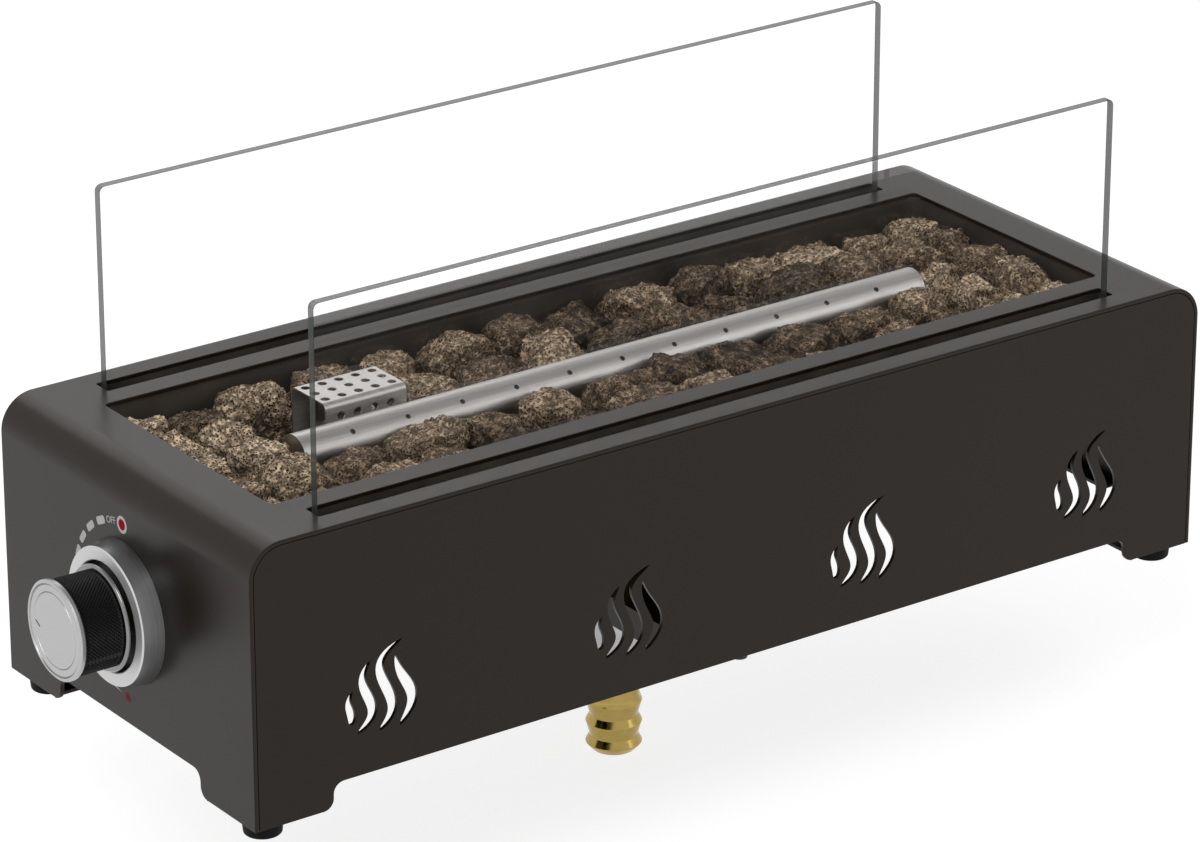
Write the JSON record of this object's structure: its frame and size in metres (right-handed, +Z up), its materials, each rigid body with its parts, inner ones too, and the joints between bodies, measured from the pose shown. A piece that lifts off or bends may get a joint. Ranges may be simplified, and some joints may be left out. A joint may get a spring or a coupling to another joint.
{
  "type": "tabletop gas fire pit",
  "caption": "Long low tabletop gas burner box with lava rocks round a ported tube, two lift-out glass guards, a push-and-turn end knob and a hose barb below.",
  "frame": {"origin": "on the vertical axis of the gas inlet, in the middle of the body, level with the undersides of the four feet", "axes": "+X along the body away from the control knob, -Y out of the front panel, +Z up"},
  "size_m": [0.5426, 0.1986, 0.2917],
  "materials": {
    "powder_coat": "satin charcoal powder coat",
    "tray_steel": "matt black heat-proof paint",
    "rubber_foot": "matt black rubber",
    "silicone": "matt black silicone",
    "fastener_steel": "zinc plated",
    "tempered_glass": "clear polished",
    "stainless": "brushed stainless",
    "aluminium_tube": "drawn",
    "brass": "turned and polished",
    "black_plastic": "knurled or moulded",
    "copper": "drawn copper",
    "ceramic": "unglazed",
    "bezel_metal": "satin to bright plating",
    "cap_silver": "satin",
    "lava_rock": "porous and rough"
  },
  "bodies": {
    "housing": {"back_panel": "powder_coat", "bezel": "bezel_metal", "bezel_screws": "fastener_steel", "bracket_nuts": "fastener_steel", "bracket_screws": "fastener_steel", "burner_brackets": "stainless", "burner_end_left": "stainless", "burner_end_right": "stainless", "burner_screws": "fastener_steel", "burner_tube": "stainless", "electrode_wire": "stainless", "fire_tray": "tray_steel", "foot_back_left": "rubber_foot", "foot_back_right": "rubber_foot", "foot_front_left": "rubber_foot", "foot_front_right": "rubber_foot", "foot_nuts": "fastener_steel", "foot_screws": "fastener_steel", "front_panel": "powder_coat", "gas_valve_body": "aluminium_tube", "glass_channel_back": "tray_steel", "glass_channel_front": "tray_steel", "glass_seat_back": "silicone", "glass_seat_front": "silicone", "housing_wrap": "powder_coat", "igniter_shield": "stainless", "ignition_lead": "black_plastic", "inlet_barb": "brass", "inlet_bracket": "powder_coat", "inlet_elbow": "brass", "inlet_locknut": "brass", "lava_rocks_back": "lava_rock", "lava_rocks_front": "lava_rock", "lava_rocks_left": "lava_rock", "lava_rocks_right": "lava_rock", "magnet_nut": "brass", "mixer_tube": "aluminium_tube", "orifice": "brass", "piezo_igniter": "black_plastic", "probe_nuts": "fastener_steel", "return_spring": "fastener_steel", "spark_electrode": "ceramic", "supply_nuts": "brass", "supply_tube": "aluminium_tube", "thermocouple": "stainless", "thermocouple_lead": "copper"},
    "glass_front_guard": {"glass_front": "tempered_glass"},
    "glass_back_guard": {"glass_back": "tempered_glass"},
    "spindle_guide": {"spindle_sleeve": "fastener_steel"},
    "knob": {"valve_spindle": "brass", "spindle_clip": "fastener_steel", "knob_body": "black_plastic", "knob_cap": "cap_silver", "knob_ring": "bezel_metal"}
  },
  "joints": [
    {"name": "knob_push", "type": "slide", "parent": "housing", "child": "spindle_guide", "axis": [1, 0, 0], "range_m": [0, 0.003], "stiffness_N_per_m": 1500, "springref_m": -0.004, "deforming": ["return_spring"]},
    {"name": "knob_turn", "type": "hinge", "parent": "spindle_guide", "child": "knob", "pos_m": [-0.254, 0, 0.0719], "axis": [-1, 0, 0], "range_deg": [-87, 75]},
    {"name": "glass_front_lift", "type": "slide", "parent": "housing", "child": "glass_front_guard", "axis": [0, 0, 1], "range_m": [0, 0.04]},
    {"name": "glass_back_lift", "type": "slide", "parent": "housing", "child": "glass_back_guard", "axis": [0, 0, 1], "range_m": [0, 0.04]}
  ]
}
